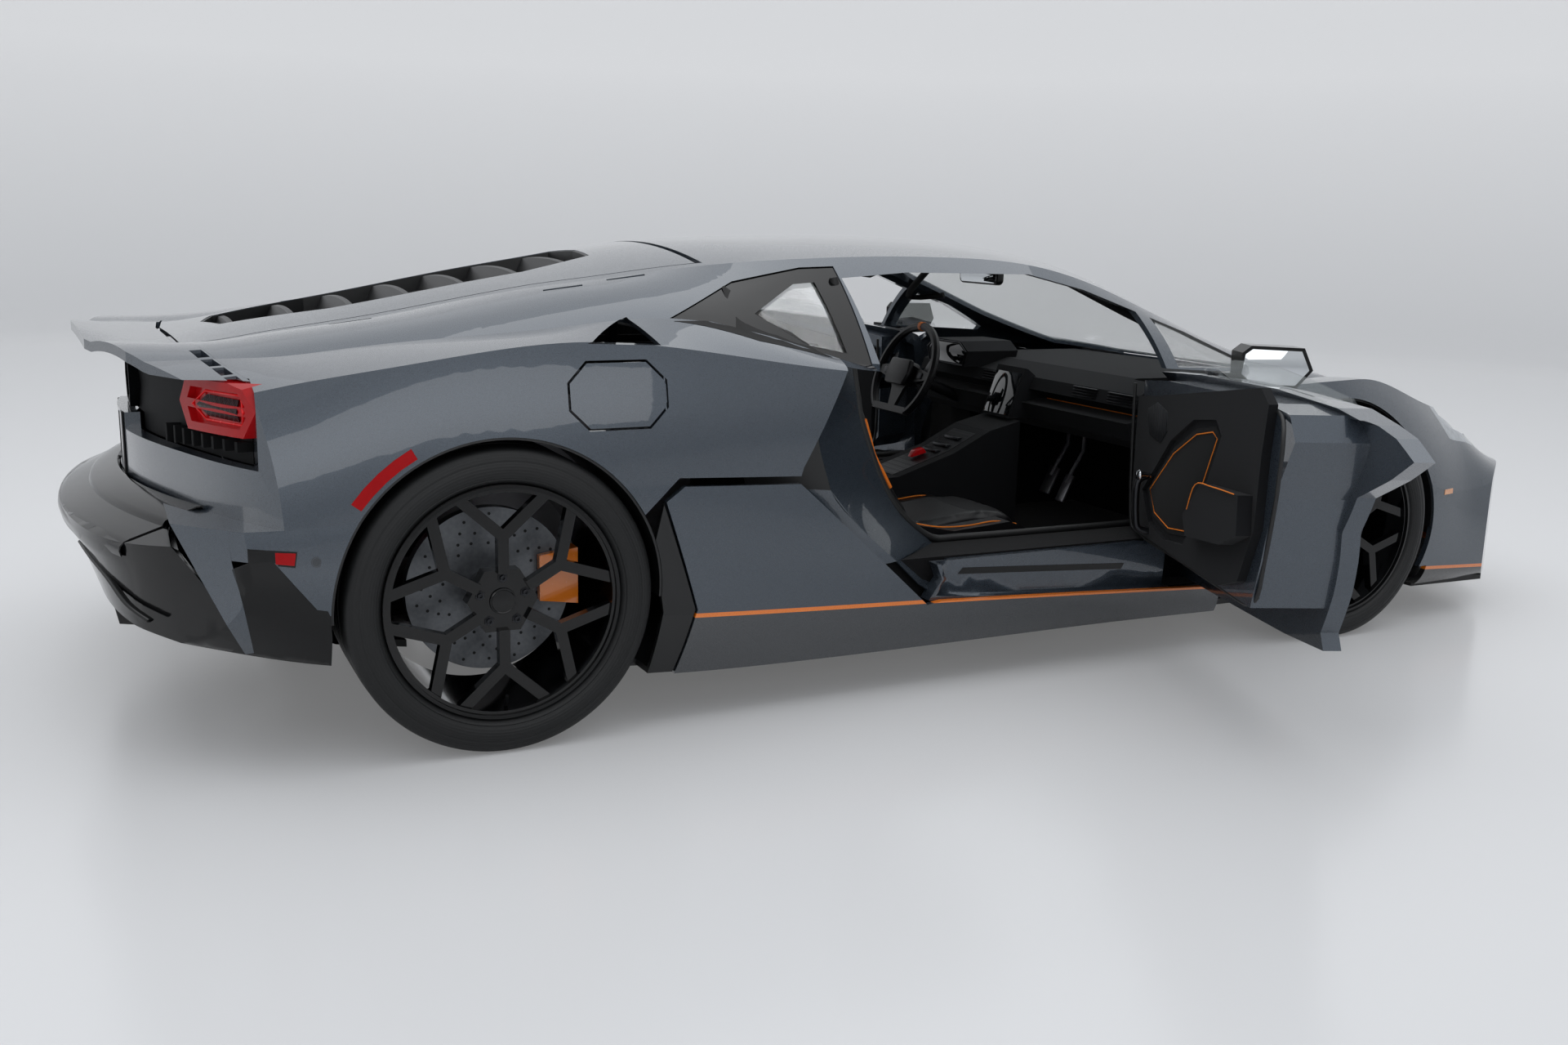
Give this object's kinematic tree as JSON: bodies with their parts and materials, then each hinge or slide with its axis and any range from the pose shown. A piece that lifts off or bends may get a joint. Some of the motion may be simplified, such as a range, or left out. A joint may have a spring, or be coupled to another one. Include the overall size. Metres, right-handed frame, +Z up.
{
  "type": "mid-engined two-seat supercar",
  "caption": "Low mid-engined two-seat coupe with doors open, steered front wheels, lids and cabin.",
  "frame": {"origin": "on the ground, at the middle of the car's length and width", "axes": "+X forward, +Y to the left, +Z up"},
  "size_m": [4.706, 4.1016, 1.2011],
  "materials": {
    "body_paint": "gloss",
    "tyre_rubber": "matte",
    "rim_black": "gloss",
    "carbon_disc": "satin",
    "caliper_orange": "gloss",
    "tinted_glass": "gloss",
    "lamp_red": "gloss",
    "lamp_clear": "gloss",
    "seat_leather": "satin",
    "trim_suede": "matte",
    "cast_aluminium": "satin",
    "wheel_leather": "satin",
    "black_trim": "satin"
  },
  "bodies": {
    "body": {"roof_and_pillars": "body_paint", "windscreen": "tinted_glass", "quarter_windows": "tinted_glass", "front_fenders": "body_paint", "rear_quarter_left": "body_paint", "rear_quarter_right": "body_paint", "side_skirts": "black_trim", "front_bumper": "body_paint", "front_splitter": "black_trim", "headlamps": "lamp_clear", "diffuser": "black_trim", "rear_bumper": "body_paint", "tail_lamps": "lamp_red", "rear_fascia": "black_trim", "tail_spoiler": "body_paint", "exhaust": "black_trim", "underbody": "black_trim", "tub": "cast_aluminium", "rear_knuckles": "cast_aluminium", "rear_calipers": "caliper_orange", "engine_block": "cast_aluminium", "seats": "seat_leather", "console": "trim_suede", "dashboard": "trim_suede", "luggage_tub": "black_trim", "suspension_arms": "cast_aluminium", "sail_panels": "black_trim", "door_jambs": "body_paint", "front_grilles": "black_trim", "arch_liners": "black_trim"},
    "door_left": {"door_left": "body_paint", "door_card_left": "trim_suede", "door_glass_left": "tinted_glass", "door_mirror_left": "black_trim"},
    "front_steering_left": {"front_knuckle_left": "cast_aluminium", "front_caliper_left": "caliper_orange"},
    "front_wheel_left": {"front_tyre_left": "tyre_rubber", "front_rim_left": "rim_black", "front_disc_left": "carbon_disc"},
    "rear_wheel_left": {"rear_tyre_left": "tyre_rubber", "rear_rim_left": "rim_black", "rear_disc_left": "carbon_disc"},
    "door_right": {"door_right": "body_paint", "door_card_right": "trim_suede", "door_glass_right": "tinted_glass", "door_mirror_right": "black_trim"},
    "front_steering_right": {"front_knuckle_right": "cast_aluminium", "front_caliper_right": "caliper_orange"},
    "front_wheel_right": {"front_tyre_right": "tyre_rubber", "front_rim_right": "rim_black", "front_disc_right": "carbon_disc"},
    "rear_wheel_right": {"rear_tyre_right": "tyre_rubber", "rear_rim_right": "rim_black", "rear_disc_right": "carbon_disc"},
    "front_lid": {"front_lid": "body_paint"},
    "engine_lid": {"engine_lid": "black_trim", "engine_grille": "black_trim"},
    "steering_wheel": {"steering_wheel": "wheel_leather"},
    "fuel_flap": {"fuel_flap": "body_paint"}
  },
  "joints": [
    {"name": "door_left_hinge", "type": "hinge", "parent": "body", "child": "door_left", "pos_m": [0.69, 0.88, 0.5], "axis": [0, 0, 1], "range_deg": [0, 68]},
    {"name": "steer_left", "type": "hinge", "parent": "body", "child": "front_steering_left", "pos_m": [1.228, 0.79, 0.343], "axis": [0, 0, 1], "range_deg": [-33, 33]},
    {"name": "front_wheel_left_spin", "type": "hinge", "parent": "front_steering_left", "child": "front_wheel_left", "pos_m": [1.228, 0.861, 0.343], "axis": [0, 1, 0], "continuous": true},
    {"name": "rear_wheel_left_spin", "type": "hinge", "parent": "body", "child": "rear_wheel_left", "pos_m": [-1.43, 0.835, 0.364], "axis": [0, 1, 0], "continuous": true},
    {"name": "door_right_hinge", "type": "hinge", "parent": "body", "child": "door_right", "pos_m": [0.69, -0.88, 0.5], "axis": [0, 0, 1], "range_deg": [-68, 0]},
    {"name": "steer_right", "type": "hinge", "parent": "body", "child": "front_steering_right", "pos_m": [1.228, -0.79, 0.343], "axis": [0, 0, 1], "range_deg": [-33, 33]},
    {"name": "front_wheel_right_spin", "type": "hinge", "parent": "front_steering_right", "child": "front_wheel_right", "pos_m": [1.228, -0.861, 0.343], "axis": [0, 1, 0], "continuous": true},
    {"name": "rear_wheel_right_spin", "type": "hinge", "parent": "body", "child": "rear_wheel_right", "pos_m": [-1.43, -0.835, 0.364], "axis": [0, 1, 0], "continuous": true},
    {"name": "front_lid_hinge", "type": "hinge", "parent": "body", "child": "front_lid", "pos_m": [1.5, 0, 0.694], "axis": [0, -1, 0], "range_deg": [0, 50]},
    {"name": "engine_lid_hinge", "type": "hinge", "parent": "body", "child": "engine_lid", "pos_m": [-0.88, 0, 1.115], "axis": [0, 1, 0], "range_deg": [0, 45]},
    {"name": "steering_wheel_turn", "type": "hinge", "parent": "body", "child": "steering_wheel", "pos_m": [0.41, 0.37, 0.715], "axis": [-0.9272, 0, 0.3746], "range_deg": [-429, 429]},
    {"name": "fuel_flap_hinge", "type": "hinge", "parent": "body", "child": "fuel_flap", "pos_m": [-1.03, -0.96848, 0.797], "axis": [0, 0.2009, 0.9796], "range_deg": [0, 80]}
  ],
  "couplings": [
    {"joint": "steer_right", "follows": "steer_left", "ratio": 1},
    {"joint": "steering_wheel_turn", "follows": "steer_left", "ratio": 13}
  ]
}
